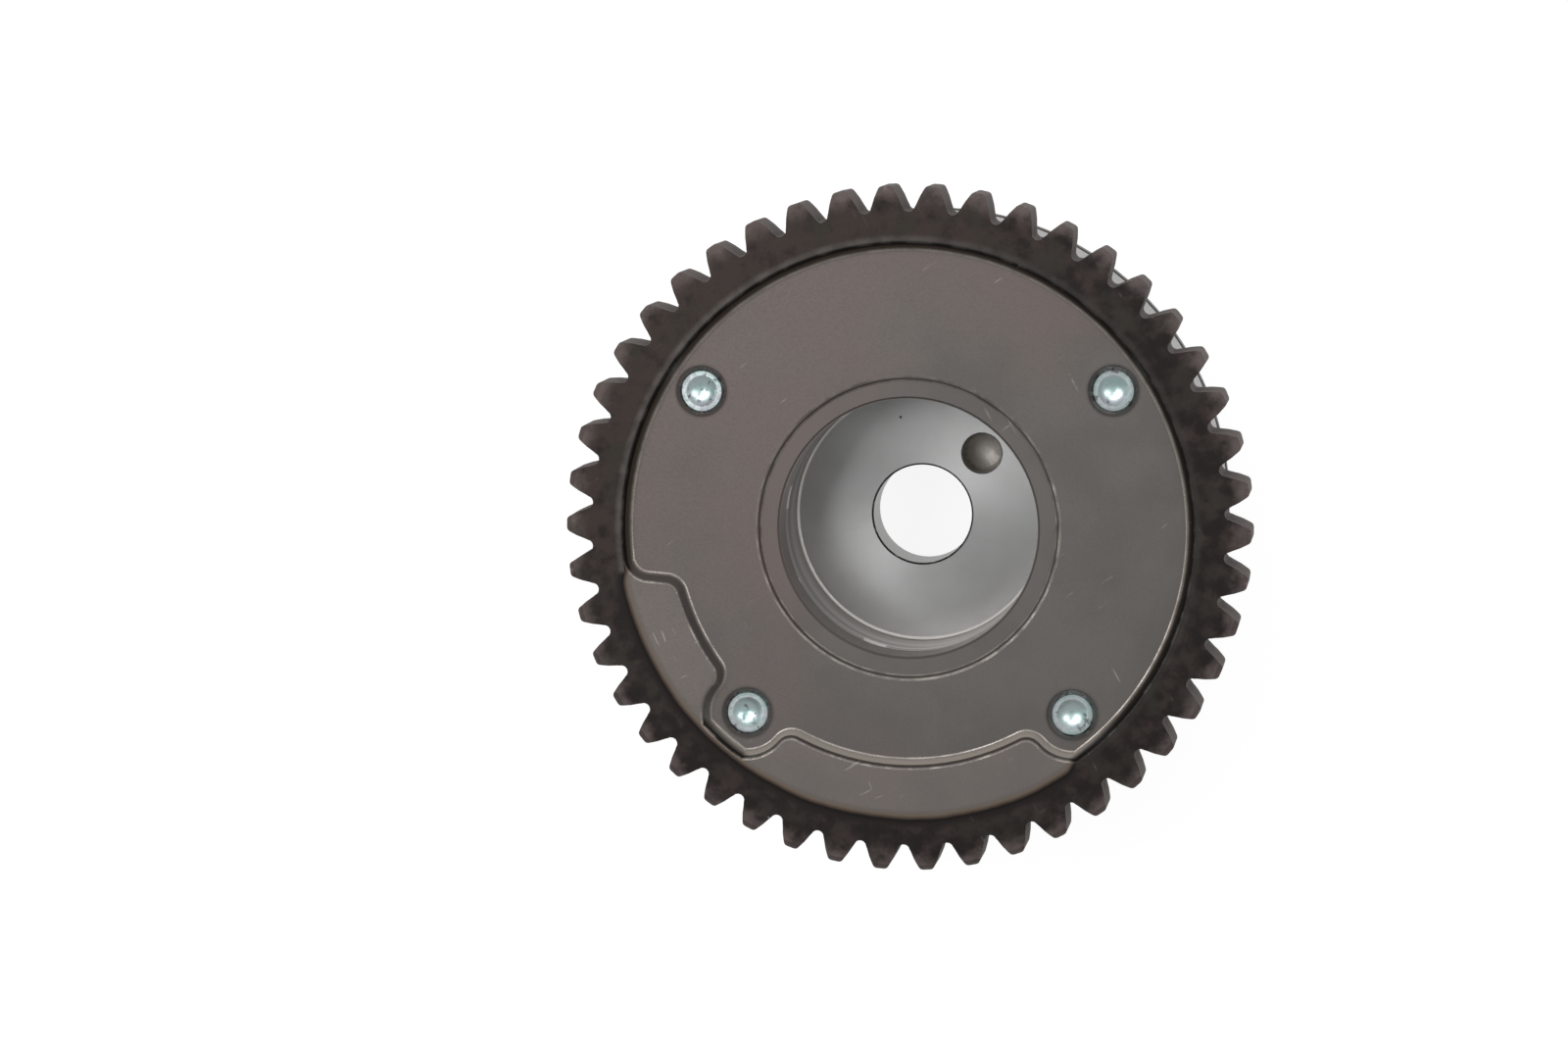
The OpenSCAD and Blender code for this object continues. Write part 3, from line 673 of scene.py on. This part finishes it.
# %% [markdown]
# ## Lathe rings of the rotor
# The rotor's recess is turned on a lathe. Its fine rings are smaller than a pixel, so they are
# not drawn as lines: an anisotropic highlight that follows the rings gives the same soft fans
# of light around the bore. The tangent is worked out from the place on the part.

# %% Highlight that follows the rings
AXIS = (0, 0, 1)


def follow_rings(tree, shader, at, strength):
    shader.inputs["Anisotropic"].default_value = strength
    across = vector_node(tree, "CROSS_PRODUCT", AXIS, scaled(tree, at, FLAT))
    turned = tree.nodes.new("ShaderNodeVectorTransform")
    turned.vector_type = "VECTOR"
    turned.convert_from = "OBJECT"
    turned.convert_to = "WORLD"
    put(tree, across.outputs["Vector"], turned.inputs["Vector"])
    put(tree, turned.outputs["Vector"], shader.inputs["Tangent"])


print("rings turn about", AXIS)

# %% [markdown]
# ## Wall and edges of the recess
# From the recess wall outwards the rotor is warmer, with faint bands of turning and a dark line
# of painted shade at the foot. Three edges carry painted highlights: the rim of the floor, the
# groove high on the wall and the lower edges of four slots. Bevels could catch the light there,
# but these lines are only a few tenths of a millimetre wide, so they are painted on by height,
# radius and bearing.

# %% Recess wall layer
RECESS_R = 17.7 * MM
FLOOR_DEPTH = 21.5 * MM
FLOOR_Z = RING_Z - FLOOR_DEPTH
RECESS_WARM = (0.45, 0.415, 0.385)
RECESS_DARK = (0.25, 0.232, 0.215)
RECESS_FOOT_SHADE = (0.10, 0.09, 0.083)
TURNING_STRETCH = (0.03, 0.03, 1)
TURNING_SPAN = (0.42, 0.60)
RECESS_WALL = span_at(RECESS_R, -0.25, -0.1)
FOOT_HEIGHT = span_at(FLOOR_Z, 2.2, 1.2)
FOOT_AMOUNT = 0.7


def recess_wall(tree, spot, body):
    bands = noise(tree, scaled(tree, spot.at, TURNING_STRETCH), scale=700, detail=2.0)
    tone = mixed(tree, fade(tree, bands, TURNING_SPAN), RECESS_WARM, RECESS_DARK)
    wall = fade(tree, spot.r, RECESS_WALL)
    body = mixed(tree, wall, body, tone)
    # Painted shade: a dark line at the foot of the recess wall.
    foot = times(tree, wall, fade(tree, spot.z, FOOT_HEIGHT), FOOT_AMOUNT)
    return mixed(tree, foot, body, RECESS_FOOT_SHADE)


print("recess floor at", in_mm(FLOOR_Z), "mm")

# %% Bright edge mask
SLOT_DEPTH = 1.8 * MM
SLOT_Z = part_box("rotor")[1].z - SLOT_DEPTH
SLOTS_AT = (49.25, 169.0, 251.5, 334.0)
SLOT_SPAN = (0.9945, 0.9962)
EDGE_LIGHT = (0.90, 0.87, 0.83)
FLOOR_RIM = span_at(RECESS_R, -0.36, -0.30)
FLOOR_RIM_HEIGHT = span_at(FLOOR_Z, 0.40, 0.25)
GROOVE_START = span_at(RECESS_R, -0.05, 0.05)
GROOVE_BAND = span_at(SLOT_Z, -0.9, -0.6), span_at(SLOT_Z, 0.08, 0.02)
GROOVE_AMOUNT = 0.7
GLINT_START = span_at(RECESS_R, -0.15, -0.05)
GLINT_BAND = span_at(SLOT_Z, -1.0, -0.7), span_at(SLOT_Z, 0.08, 0.0)


# Painted highlights: the floor's rim, the groove and the slots' lower edges in a light colour.
def bright_edges(tree, spot):
    rim = times(tree, fade(tree, spot.r, FLOOR_RIM), fade(tree, spot.z, FLOOR_RIM_HEIGHT))
    groove = times(tree, fade(tree, spot.r, GROOVE_START), band(tree, spot.z, GROOVE_BAND),
                   GROOVE_AMOUNT)
    bearings = [towards(tree, spot.at, spot.r, turn) for turn in SLOTS_AT]
    slots = joined(tree, "MAXIMUM", *(fade(tree, near, SLOT_SPAN) for near in bearings))
    glint = times(tree, slots, fade(tree, spot.r, GLINT_START), band(tree, spot.z, GLINT_BAND))
    return joined(tree, "MAXIMUM", rim, groove, glint)


print("slots at", SLOTS_AT, "degrees")

# %% [markdown]
# ## The rotor's and the pin's finish
# The floor is a cool grey, with painted shade darkening the bolt bore, a drilled brown dowel hole
# and one small dark pit. The lock pin is ground from a like steel, only smoother and lighter. Two
# recipes could be written, but one with other values makes both.

# %% Pit and dowel hole masks
PIT_X, PIT_Y, PIT_R = -2.96 * MM, 13.57 * MM, 0.24 * MM
PIT_CORE, PIT_AMOUNT = 0.6, 0.9
PIT_SPAN = (PIT_R, PIT_R * PIT_CORE, 0.0, PIT_AMOUNT)
DOWEL_X, DOWEL_Y, DOWEL_R = 8.383 * MM, 8.516 * MM, 2.8 * MM
DOWEL_SPAN = span_at(DOWEL_R, 0.08, -0.05)
DOWEL_HEIGHT = span_at(FLOOR_Z, -0.05, -0.2)


def pit_mask(tree, at):
    return fade(tree, radius(tree, shifted(tree, at, (PIT_X, PIT_Y, 0))), PIT_SPAN)


def drilled_mask(tree, spot):
    off_axis = radius(tree, shifted(tree, spot.at, (DOWEL_X, DOWEL_Y, 0)))
    return times(tree, fade(tree, off_axis, DOWEL_SPAN), fade(tree, spot.z, DOWEL_HEIGHT))


print("dowel hole", in_mm(DOWEL_R), "mm, pit", in_mm(PIT_R), "mm in radius")

# %% Turned steel finish
TURNED_GREY = (0.400, 0.402, 0.402)
TURNED_DULL = (0.375, 0.375, 0.373)
GROUND_LIGHT = (0.5, 0.5, 0.51)
GROUND_DULL = (0.42, 0.42, 0.43)
BORE_SHADE = (0.20, 0.195, 0.19)
PIT_BLACK = (0.02, 0.02, 0.02)
HOLE_BROWN = (0.43, 0.40, 0.365)
BOLT_BORE_R = 6.9 * MM
METAL_CLOUD = (0.3, 0.7)
GRAIN_SPAN = (0.2, 0.8)
TURNED_METAL = (0.0, 1.0, 1.0, 0.3)
SMOOTHER, ROUGHER = 0.05, 0.07


def turned_steel(name, light, dull, roughness, ring_strength, bore):
    material, tree, shader = start_finish(name, metallic=1.0, roughness=roughness)
    at = place(tree)
    spot = SimpleNamespace(at=at, r=radius(tree, at), z=upward(tree, at))
    follow_rings(tree, shader, at, ring_strength)
    body = mixed(tree, fade(tree, noise(tree, at, scale=160), METAL_CLOUD), light, dull)
    # Painted shade: the bolt bore is darkened.
    body = mixed(tree, fade(tree, spot.r, span_at(bore, 0.3, 0.02)), body, BORE_SHADE)
    body = mixed(tree, pit_mask(tree, at), body, PIT_BLACK)
    body = recess_wall(tree, spot, body)
    bright = bright_edges(tree, spot)
    body = mixed(tree, bright, body, EDGE_LIGHT)
    drilled = drilled_mask(tree, spot)
    put(tree, mixed(tree, drilled, body, HOLE_BROWN), shader.inputs["Base Color"])
    put(tree, fade(tree, joined(tree, "MAXIMUM", drilled, bright), TURNED_METAL),
        shader.inputs["Metallic"])
    grain = noise(tree, at, scale=5200, detail=2.0)
    put(tree, fade(tree, grain, (*GRAIN_SPAN, roughness - SMOOTHER, roughness + ROUGHER)),
        shader.inputs["Roughness"])
    put(tree, bumped(tree, grain, strength=0.05, depth=0.01 * MM), shader.inputs["Normal"])
    return material


rotor_finish = turned_steel("turned_rotor", TURNED_GREY, TURNED_DULL, roughness=0.40,
                            ring_strength=0.6, bore=BOLT_BORE_R)
pin_finish = turned_steel("ground_pin", GROUND_LIGHT, GROUND_DULL, roughness=0.25,
                          ring_strength=0.3, bore=0.0)
print("made", rotor_finish.name, pin_finish.name)

# %% [markdown]
# ## Housing and front cover
# The housing is plain aluminium, turned outside, and the cover is a steel disc coloured almost
# black. Both are seen mostly from the side. Modelled grooves would be far too many, so their
# finish is a fine ring pattern along the axis: a bump that hardly changes round the part, kept
# faint.

# %% Housing and cover finishes
HOUSING_LIGHT = (0.35, 0.34, 0.335)
HOUSING_DULL = (0.315, 0.305, 0.30)
COVER_LIGHT = (0.060, 0.055, 0.053)
COVER_DULL = (0.042, 0.038, 0.036)
RING_PITCH = 0.3 * MM
RING_STRETCH = (0.02, 0.02, 1)
FINER, COARSER = 0.06, 0.08


def ringed_metal(name, light, dull, metallic, roughness):
    material, tree, shader = start_finish(name, metallic, roughness)
    at = place(tree)
    cloud = noise(tree, at, scale=120, detail=4.0)
    put(tree, mixed(tree, fade(tree, cloud, METAL_CLOUD), light, dull), shader.inputs["Base Color"])
    grain = noise(tree, at, scale=3000, detail=2.0)
    put(tree, fade(tree, grain, (*GRAIN_SPAN, roughness - FINER, roughness + COARSER)),
        shader.inputs["Roughness"])
    rings = noise(tree, scaled(tree, at, RING_STRETCH), scale=1.0 / RING_PITCH, detail=2.0)
    put(tree, bumped(tree, rings, strength=0.12, depth=0.02 * MM), shader.inputs["Normal"])
    return material


housing_finish = ringed_metal("housing_aluminium", HOUSING_LIGHT, HOUSING_DULL,
                              metallic=0.8, roughness=0.42)
cover_finish = ringed_metal("cover_steel", COVER_LIGHT, COVER_DULL, metallic=0.5, roughness=0.45)
print("made", housing_finish.name, cover_finish.name)

# %% [markdown]
# ## Zinc bolts
# Blue zinc plate is almost a mirror with a hint of teal and violet where the film's thickness
# changes. A thin-film shader could show that, but it is hard to steer, so a slow noise chooses
# between the hues. Each bolt tip has a matt dish whose edge carries a painted highlight, and
# small dark nicks.

# %% Zinc finish
ZINC_TEAL = (0.53, 0.73, 0.72)
ZINC_PALE = (0.64, 0.77, 0.77)
ZINC_LILAC = (0.67, 0.69, 0.77)
ZINC_EDGE_HIGHLIGHT = (0.95, 0.97, 0.97)
ZINC_NICK = (0.16, 0.17, 0.18)
ZINC_HUES = [(0.3, ZINC_TEAL), (0.5, ZINC_PALE), (0.7, ZINC_LILAC)]
DISH_R = 2.1 * MM
DISH_SPAN = span_at(DISH_R, 0.05, -0.05)
DISH_EDGE = span_at(DISH_R, -0.25, 0.0), span_at(DISH_R, 0.45, 0.2)
DISH_EDGE_AMOUNT = 0.45
DISH_ROUGHER = 0.12
ZINC_NICK_SPAN = (0.60, 0.68, 0.0, 0.75)
ZINC_ROUGHNESS = (0.3, 0.7, 0.18, 0.26)


def zinc_plate():
    material, tree, shader = start_finish("zinc_bolt", metallic=1.0, roughness=0.2)
    at = place(tree)
    off_axis = nearest_bolt(tree, at)
    body = ramp(tree, noise(tree, at, scale=380, detail=2.0), ZINC_HUES)
    # Painted highlight: a bright ring round the edge of each bolt's dish.
    edge = times(tree, band(tree, off_axis, DISH_EDGE), DISH_EDGE_AMOUNT)
    body = mixed(tree, edge, body, ZINC_EDGE_HIGHLIGHT)
    nick = fade(tree, noise(tree, at, scale=820, detail=2.0), ZINC_NICK_SPAN)
    put(tree, mixed(tree, nick, body, ZINC_NICK), shader.inputs["Base Color"])
    dent = noise(tree, at, scale=1500, detail=2.0)
    matt = times(tree, fade(tree, off_axis, DISH_SPAN), DISH_ROUGHER)
    put(tree, joined(tree, "ADD", fade(tree, dent, ZINC_ROUGHNESS), matt),
        shader.inputs["Roughness"])
    put(tree, bumped(tree, dent, strength=0.03, depth=0.03 * MM), shader.inputs["Normal"])
    return material


bolt_finish = zinc_plate()
print("made", bolt_finish.name)

# %% [markdown]
# ## Springs and seals
# The springs are drawn wire and the seals a filled dark plastic. They sit inside and show only
# when the part is taken apart, so a mottled colour and a fine bump are enough: drawn out
# along the axis on the wire, even on the plastic.

# %% Spring and seal finishes
WIRE_LIGHT = (0.46, 0.45, 0.42)
WIRE_DARK = (0.34, 0.33, 0.31)
WIRE_STRETCH = (1, 1, 0.1)
SEAL_DARK = (0.045, 0.037, 0.030)
SEAL_LIGHT = (0.070, 0.058, 0.046)


def spring_wire():
    material, tree, shader = start_finish("spring_wire", metallic=1.0, roughness=0.3)
    at = place(tree)
    put(tree, mixed(tree, noise(tree, at, scale=900), WIRE_LIGHT, WIRE_DARK),
        shader.inputs["Base Color"])
    drawn = noise(tree, scaled(tree, at, WIRE_STRETCH), scale=8000)
    put(tree, bumped(tree, drawn, strength=0.1, depth=0.01 * MM), shader.inputs["Normal"])
    return material


def seal_plastic():
    material, tree, shader = start_finish("seal_plastic", metallic=0.0, roughness=0.55)
    at = place(tree)
    put(tree, mixed(tree, noise(tree, at, scale=1200), SEAL_DARK, SEAL_LIGHT),
        shader.inputs["Base Color"])
    put(tree, bumped(tree, noise(tree, at, scale=4000), strength=0.15, depth=0.02 * MM),
        shader.inputs["Normal"])
    return material


wire_finish = spring_wire()
plastic_finish = seal_plastic()
print("made", wire_finish.name, plastic_finish.name)

# %% [markdown]
# ## Smooth copies of the parts
# The CAD meshes are loose flat triangles. A copy whose doubles are merged can be shaded
# smooth, so that small radii catch light as bright lines. Smoothing would also tint the long
# triangles of a flat face and blur the corners, so in edit mode the border of every flat and
# every steep edge are marked sharp, and face weights even out the rest. The form stays the
# same. Each copy replaces its CAD node, which is hidden and stays as it is. Editing the CAD
# node itself is not allowed, so each copy replaces it.

# %% Copy a node and merge its doubles
MERGE_WITHIN = 0.001 * MM


def merged_copy(source, name):
    piece = bpy.data.objects.new(name, source.data.copy())
    scene.collection.objects.link(piece)
    bpy.ops.object.select_all(action="DESELECT")
    piece.select_set(True)
    bpy.context.view_layer.objects.active = piece
    bpy.ops.object.mode_set(mode="EDIT")
    bpy.ops.mesh.select_all(action="SELECT")
    bpy.ops.mesh.remove_doubles(threshold=MERGE_WITHIN)
    bpy.ops.mesh.select_mode(type="FACE")
    bpy.ops.mesh.select_all(action="DESELECT")
    bpy.ops.object.mode_set(mode="OBJECT")
    return piece


print("doubles merge within", MERGE_WITHIN / MM, "mm")

# %% Mark the sharp edges and shade smooth
LEVEL_LIMIT = 0.9999
STEEP_ANGLE = math.radians(34.0)


def mark_sharp_edges(piece):
    flats = [face for face in piece.data.polygons if abs(face.normal.z) > LEVEL_LIMIT]
    for face in flats:
        face.select = True
    bpy.ops.object.mode_set(mode="EDIT")
    if flats:
        bpy.ops.mesh.region_to_loop()
        bpy.ops.mesh.mark_sharp()
    bpy.ops.mesh.select_mode(type="EDGE")
    bpy.ops.mesh.select_all(action="DESELECT")
    bpy.ops.mesh.edges_select_sharp(sharpness=STEEP_ANGLE)
    bpy.ops.mesh.mark_sharp()
    bpy.ops.object.mode_set(mode="OBJECT")


def shade_evenly(piece):
    bpy.ops.object.shade_smooth(keep_sharp_edges=True)
    weights = piece.modifiers.new("face_weights", "WEIGHTED_NORMAL")
    weights.mode = "FACE_AREA_WITH_ANGLE"
    weights.keep_sharp = True
    bpy.ops.object.modifier_apply(modifier=weights.name)


print("edges are sharp from", round(math.degrees(STEEP_ANGLE)), "degrees")

# %% [markdown]
# ## Every part in its finish
# The record names a material slot for each part. The finishes could be given part by part, but
# a table from slot to finish dresses like parts alike and leaves none out. Each copy rides on
# the body of the node that it stands for.

# %% Dress every node
FINISHES = {
    "sintered_steel": plate_finish, "housing_aluminium": housing_finish,
    "cover_steel": cover_finish, "rotor_steel": rotor_finish, "seal_plastic": plastic_finish,
    "spring_steel": wire_finish, "pin_steel": pin_finish, "bolt_zinc": bolt_finish}


def dressed_copy(node, finish):
    source = frame["nodes"][node]
    piece = merged_copy(source, node + "_piece")
    mark_sharp_edges(piece)
    shade_evenly(piece)
    piece.data.materials.clear()
    piece.data.materials.append(finish)
    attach(piece, source["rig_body"])
    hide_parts(node)
    return piece


for subpart in frame["record"]["subparts"]:
    slot = subpart["material_slot"]
    piece = dressed_copy(subpart["node"], FINISHES[slot])
    print(piece.name, len(piece.data.polygons))

# %% [markdown]
# ## Lock spring
# The lock pin's coil spring stands on a fixed seat and is pressed together as the pin slides
# back. A rigid spring would cut through the pin, and a rig of bones is too much for a short
# stroke. Flattening the coil towards its seat, by just the pin's stroke, would give the real
# motion, but here the coil only gets a mesh of its own.

# %% Give the spring a mesh of its own
spring = bpy.data.objects["lock_spring_piece"]
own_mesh(spring)

# %% [markdown]
# ## Floor
# The part lies on its bolt heads on a white floor. To the camera the floor glows almost white
# and keeps only a faint shadow, as in a catalogue picture. To the light that bounces under the
# part it is an ordinary pale surface. Metal sees the same white floor in its reflections. From
# below the floor is clear, so that the cover and the bolt heads can be looked at too.

# %% Floor finish
BOUNCE_GREY = (0.8, 0.8, 0.8, 1)
SHADOW_GREY = (0.22, 0.22, 0.22, 1)
FLOOR_GLOW = 0.89


def shader_node(tree, kind, **values):
    node = tree.nodes.new(kind)
    for socket, value in values.items():
        node.inputs[socket].default_value = value
    return node.outputs[0]


def chosen_shader(tree, amount, a, b):
    node = tree.nodes.new("ShaderNodeMixShader")
    for value, socket in zip((amount, a, b), node.inputs):
        tree.links.new(value, socket)
    return node.outputs[0]


def studio_white():
    material = bpy.data.materials.new("studio_white")
    material.use_nodes = True
    tree = material.node_tree
    tree.nodes.clear()
    rays = tree.nodes.new("ShaderNodeLightPath").outputs
    seen = joined(tree, "MAXIMUM", rays["Is Camera Ray"], rays["Is Glossy Ray"],
                  rays["Is Transmission Ray"])
    shown = tree.nodes.new("ShaderNodeAddShader")
    tree.links.new(shader_node(tree, "ShaderNodeBsdfDiffuse", Color=SHADOW_GREY), shown.inputs[0])
    tree.links.new(shader_node(tree, "ShaderNodeEmission", Strength=FLOOR_GLOW), shown.inputs[1])
    pale = shader_node(tree, "ShaderNodeBsdfDiffuse", Color=BOUNCE_GREY)
    above = chosen_shader(tree, seen, pale, shown.outputs[0])
    underside = tree.nodes.new("ShaderNodeNewGeometry").outputs["Backfacing"]
    clear = shader_node(tree, "ShaderNodeBsdfTransparent")
    out = tree.nodes.new("ShaderNodeOutputMaterial")
    tree.links.new(chosen_shader(tree, underside, above, clear), out.inputs["Surface"])
    return material


floor_finish = studio_white()
print("made", floor_finish.name)

# %% Make the floor
FLOOR_SIZE = 6.0

bpy.ops.object.select_all(action="DESELECT")
bpy.ops.mesh.primitive_plane_add(size=FLOOR_SIZE, location=(0, 0, cad_box[0].z))
floor = bpy.context.active_object
floor.name = "studio_floor"
floor.data.materials.append(floor_finish)
print("floor at", in_mm(floor.location.z), "mm")

# %% [markdown]
# ## Light
# The picture has a broad lamp at the upper left, weaker ones at the upper right and at the far
# end of the table, and soft light from the room. Area lamps give the long soft highlights that
# metal needs. None stands where the flat faces would mirror it into the camera, and a dim grey
# world fills the rest. Each lamp is set by its place, its size and its brightness.

# %% Make the lamps
CENTRE = Vector((0, 0, RING_Z))
ROOM_STRENGTH = 0.38


def soft_lamp(name, stand, width, depth, watts):
    data = bpy.data.lights.new(name, "AREA")
    data.shape = "RECTANGLE"
    data.size = width
    data.size_y = depth
    data.energy = watts
    lamp = bpy.data.objects.new(name, data)
    scene.collection.objects.link(lamp)
    lamp.location = Vector(stand)
    lamp.rotation_mode = "QUATERNION"
    lamp.rotation_quaternion = (CENTRE - lamp.location).to_track_quat("-Z", "Y")


soft_lamp("lamp_left", stand=(-0.37, 0.21, 0.84), width=0.45, depth=0.45, watts=3.2)
soft_lamp("lamp_right", stand=(0.44, 0.16, 0.76), width=0.35, depth=0.35, watts=1.2)
soft_lamp("lamp_far", stand=(0.02, 0.52, 0.72), width=0.60, depth=0.25, watts=1.15)
world = bpy.data.worlds.new("studio_room")
scene.world = world
world.use_nodes = True
room = world.node_tree.nodes["Background"]
room.inputs["Color"].default_value = (1, 1, 1, 1)
room.inputs["Strength"].default_value = ROOM_STRENGTH

# %% [markdown]
# ## Camera
# The picture looks almost straight down on the plate, leaning a little to the upper right. The
# lean comes from how deeper circles shift, and the distance from how the teeth grow towards
# the camera. The part sits right of the middle, so the camera is turned to put the centre of
# the ring's face on its pixel instead of shifting the lens.

# %% Work out the view
PHOTO_W, PHOTO_H = 1600, 1067
CENTRE_PX, CENTRE_PY = 924.5, 540.9
PX_PER_M = 7520.0
DISTANCE = 0.70
LEAN_X, LEAN_Y = 0.1078, 0.1060
ROLL_DEG = -0.5
AHEAD = Vector((0, 0, -1))

focal_px = PX_PER_M * DISTANCE
back = Vector((LEAN_X, LEAN_Y, math.sqrt(1 - LEAN_X ** 2 - LEAN_Y ** 2)))
right = Vector((0, 1, 0)).cross(back).normalized()
facing = Matrix((right, back.cross(right), back)).transposed()
aside = (CENTRE_PX - PHOTO_W / 2) / focal_px
above = (PHOTO_H / 2 - CENTRE_PY) / focal_px
target = Vector((aside, above, -1)).normalized()
roll = Matrix.Rotation(math.radians(ROLL_DEG), 3, "Z")
turn = roll @ target.rotation_difference(AHEAD).to_matrix()
print("focal length", focal_px, "pixels")

# %% Make the camera
SENSOR_MM = 36.0
CLIP_NEAR, CLIP_FAR = 0.01, 20.0

camera_data = bpy.data.cameras.new("photo_camera")
camera_data.sensor_width = SENSOR_MM
camera_data.lens = focal_px / PHOTO_W * SENSOR_MM
camera_data.clip_start, camera_data.clip_end = CLIP_NEAR, CLIP_FAR
camera = bpy.data.objects.new("photo_camera", camera_data)
scene.collection.objects.link(camera)
camera.matrix_world = Matrix.Translation(CENTRE + back * DISTANCE) @ (facing @ turn).to_4x4()
scene.camera = camera
print("lens", round(camera_data.lens, 2), "mm")
